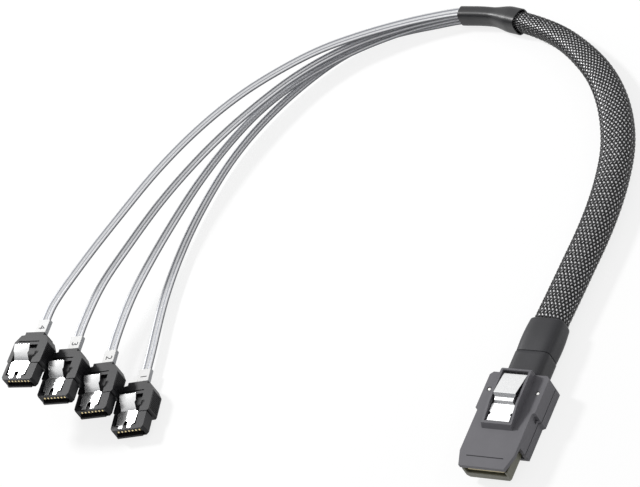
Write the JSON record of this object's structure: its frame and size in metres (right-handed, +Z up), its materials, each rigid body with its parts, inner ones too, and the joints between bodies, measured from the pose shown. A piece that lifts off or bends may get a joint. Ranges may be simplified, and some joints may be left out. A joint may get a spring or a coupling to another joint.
{
  "type": "mini sas breakout cable",
  "caption": "Breakout lead: a wide latched internal plug, a braided trunk and ribbon branches that end in small latched drive plugs.",
  "frame": {"origin": "middle of the wide plug's flat base, on the surface that the lead lies on", "axes": "+Z up out of the wide plug's latch side, -Y the way the wide plug is pushed into its host"},
  "size_m": [0.1879, 0.1771, 0.0259],
  "materials": {
    "plug_shell": "fine matt grain",
    "nose_shroud": "smooth",
    "circuit_card": "board edge with gold pads",
    "mould_block": "matt",
    "latch_steel": "bright rolled spring steel",
    "boot": "soft satin",
    "braid": "open woven monofilament",
    "shrink_tube": "satin",
    "drive_plug": "satin moulded",
    "contact_gold": "gold plated",
    "label_film": "clear-coated film",
    "ribbon_jacket": "silver foil under a clear jacket"
  },
  "bodies": {
    "cable": {"sas_upper_shell": "plug_shell", "sas_lower_shell": "plug_shell", "sas_nose_shroud": "nose_shroud", "sas_paddle_card": "circuit_card", "sas_termination_block": "mould_block", "sas_pin_left": "latch_steel", "sas_pin_right": "latch_steel", "strain_relief_boot": "boot", "braided_sleeve": "braid", "breakout_shrink": "shrink_tube", "sata1_housing": "drive_plug", "sata1_rear_body": "drive_plug", "sata1_contact_wafer": "contact_gold", "sata1_label": "label_film", "sata1_ribbon": "ribbon_jacket", "sata2_housing": "drive_plug", "sata2_rear_body": "drive_plug", "sata2_contact_wafer": "contact_gold", "sata2_label": "label_film", "sata2_ribbon": "ribbon_jacket", "sata3_housing": "drive_plug", "sata3_rear_body": "drive_plug", "sata3_contact_wafer": "contact_gold", "sata3_label": "label_film", "sata3_ribbon": "ribbon_jacket", "sata4_housing": "drive_plug", "sata4_rear_body": "drive_plug", "sata4_contact_wafer": "contact_gold", "sata4_label": "label_film", "sata4_ribbon": "ribbon_jacket"},
    "sas_latch_lever": {"sas_latch": "latch_steel"},
    "sata1_latch_lever": {"sata1_latch": "latch_steel"},
    "sata2_latch_lever": {"sata2_latch": "latch_steel"},
    "sata3_latch_lever": {"sata3_latch": "latch_steel"},
    "sata4_latch_lever": {"sata4_latch": "latch_steel"}
  },
  "joints": [
    {"name": "sas_latch_press", "type": "hinge", "parent": "cable", "child": "sas_latch_lever", "pos_m": [0, -0.00545, 0.0093], "axis": [-1, 0, 0], "range_deg": [0, 5], "stiffness_Nm_per_rad": 0.8},
    {"name": "sata1_latch_press", "type": "hinge", "parent": "cable", "child": "sata1_latch_lever", "pos_m": [-0.13458, -0.01915, 0.00535], "axis": [-0.9703, -0.2419, 0], "range_deg": [0, 5], "stiffness_Nm_per_rad": 0.3},
    {"name": "sata2_latch_press", "type": "hinge", "parent": "cable", "child": "sata2_latch_lever", "pos_m": [-0.14694, -0.01705, 0.01125], "axis": [-0.9763, -0.2164, 0], "range_deg": [0, 5], "stiffness_Nm_per_rad": 0.3},
    {"name": "sata3_latch_press", "type": "hinge", "parent": "cable", "child": "sata3_latch_lever", "pos_m": [-0.15872, -0.01685, 0.01715], "axis": [-0.9863, -0.165, 0], "range_deg": [0, 5], "stiffness_Nm_per_rad": 0.3},
    {"name": "sata4_latch_press", "type": "hinge", "parent": "cable", "child": "sata4_latch_lever", "pos_m": [-0.17057, -0.01554, 0.02305], "axis": [-0.9936, -0.1132, 0], "range_deg": [0, 5], "stiffness_Nm_per_rad": 0.3}
  ]
}
